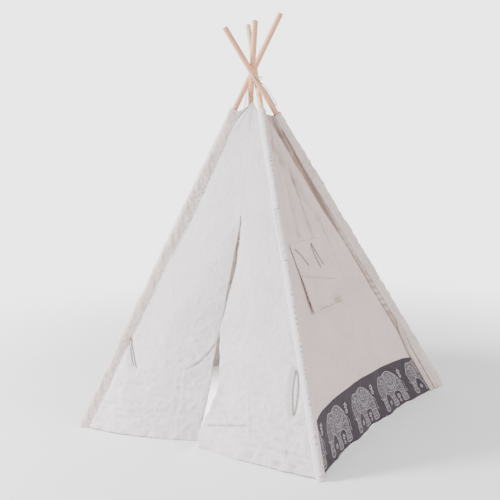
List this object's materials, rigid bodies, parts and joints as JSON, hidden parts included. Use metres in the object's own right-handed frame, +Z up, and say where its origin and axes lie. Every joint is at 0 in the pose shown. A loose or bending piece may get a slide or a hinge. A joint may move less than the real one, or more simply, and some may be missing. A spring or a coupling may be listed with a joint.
{
  "type": "kids teepee play tent",
  "caption": "Canvas play teepee on crossing jointed wooden poles, with a slit door between fold-back flaps, a covered side window, a printed foot band and a cord lashing at the crossing.",
  "frame": {"origin": "on the floor under the middle of the base rectangle", "axes": "+Z up, +X towards the wall with the window, -Y towards the door"},
  "size_m": [1.12, 1.2006, 1.6418],
  "materials": {
    "pine": "bare",
    "ferrule": "satin",
    "canvas": "plain weave",
    "sleeve": "plain weave",
    "band": "printed plain weave",
    "cord": "twisted cotton"
  },
  "bodies": {
    "front_frame": {"pole_front_left_lower": "pine", "pole_front_left_middle": "pine", "pole_front_left_upper": "pine", "pole_front_right_lower": "pine", "pole_front_right_middle": "pine", "pole_front_right_upper": "pine", "ferrule_front_left_lower": "ferrule", "ferrule_front_left_upper": "ferrule", "ferrule_front_right_lower": "ferrule", "ferrule_front_right_upper": "ferrule", "sleeve_front_left": "sleeve", "sleeve_front_right": "sleeve", "front_left_panel": "canvas", "front_right_panel": "canvas", "right_panel": "canvas", "left_panel": "canvas", "right_band": "band", "left_band": "band", "lashing_cord": "cord", "lashing_knot": "cord", "lashing_loop": "cord", "canvas_cord_front": "cord", "canvas_cord_left": "cord", "tie_back_left": "cord", "tie_back_right": "cord"},
    "rear_frame": {"pole_rear_right_lower": "pine", "pole_rear_right_middle": "pine", "pole_rear_right_upper": "pine", "pole_rear_left_lower": "pine", "pole_rear_left_middle": "pine", "pole_rear_left_upper": "pine", "ferrule_rear_right_lower": "ferrule", "ferrule_rear_right_upper": "ferrule", "ferrule_rear_left_lower": "ferrule", "ferrule_rear_left_upper": "ferrule", "sleeve_rear_right": "sleeve", "sleeve_rear_left": "sleeve", "back_panel": "canvas", "back_band": "band"},
    "door_flap_left": {"door_flap_left": "canvas"},
    "door_flap_right": {"door_flap_right": "canvas"},
    "window_flap": {"window_flap": "canvas", "window_tie_left": "cord", "window_tie_right": "cord"}
  },
  "joints": [
    {"name": "rear_frame_fold", "type": "hinge", "parent": "front_frame", "child": "rear_frame", "pos_m": [0, -0.061, 1.345], "axis": [-1, 0, 0], "range_deg": [0, 24], "deforming": ["left_panel", "right_panel", "left_band", "right_band", "window_flap", "window_tie_left", "window_tie_right", "lashing_cord"]},
    {"name": "door_flap_left_hinge", "type": "hinge", "parent": "front_frame", "child": "door_flap_left", "pos_m": [-0.42728, -0.58454, 0.00329], "axis": [-0.43, -0.3446, -0.8345], "range_deg": [0, 110]},
    {"name": "door_flap_right_hinge", "type": "hinge", "parent": "front_frame", "child": "door_flap_right", "pos_m": [0.44353, -0.58448, 0.0033], "axis": [-0.4218, 0.346, 0.8381], "range_deg": [0, 110]},
    {"name": "window_flap_hinge", "type": "hinge", "parent": "front_frame", "child": "window_flap", "pos_m": [0.23165, -0.09, 0.746], "axis": [-0.0167, -0.9999, 0], "range_deg": [0, 150]}
  ]
}
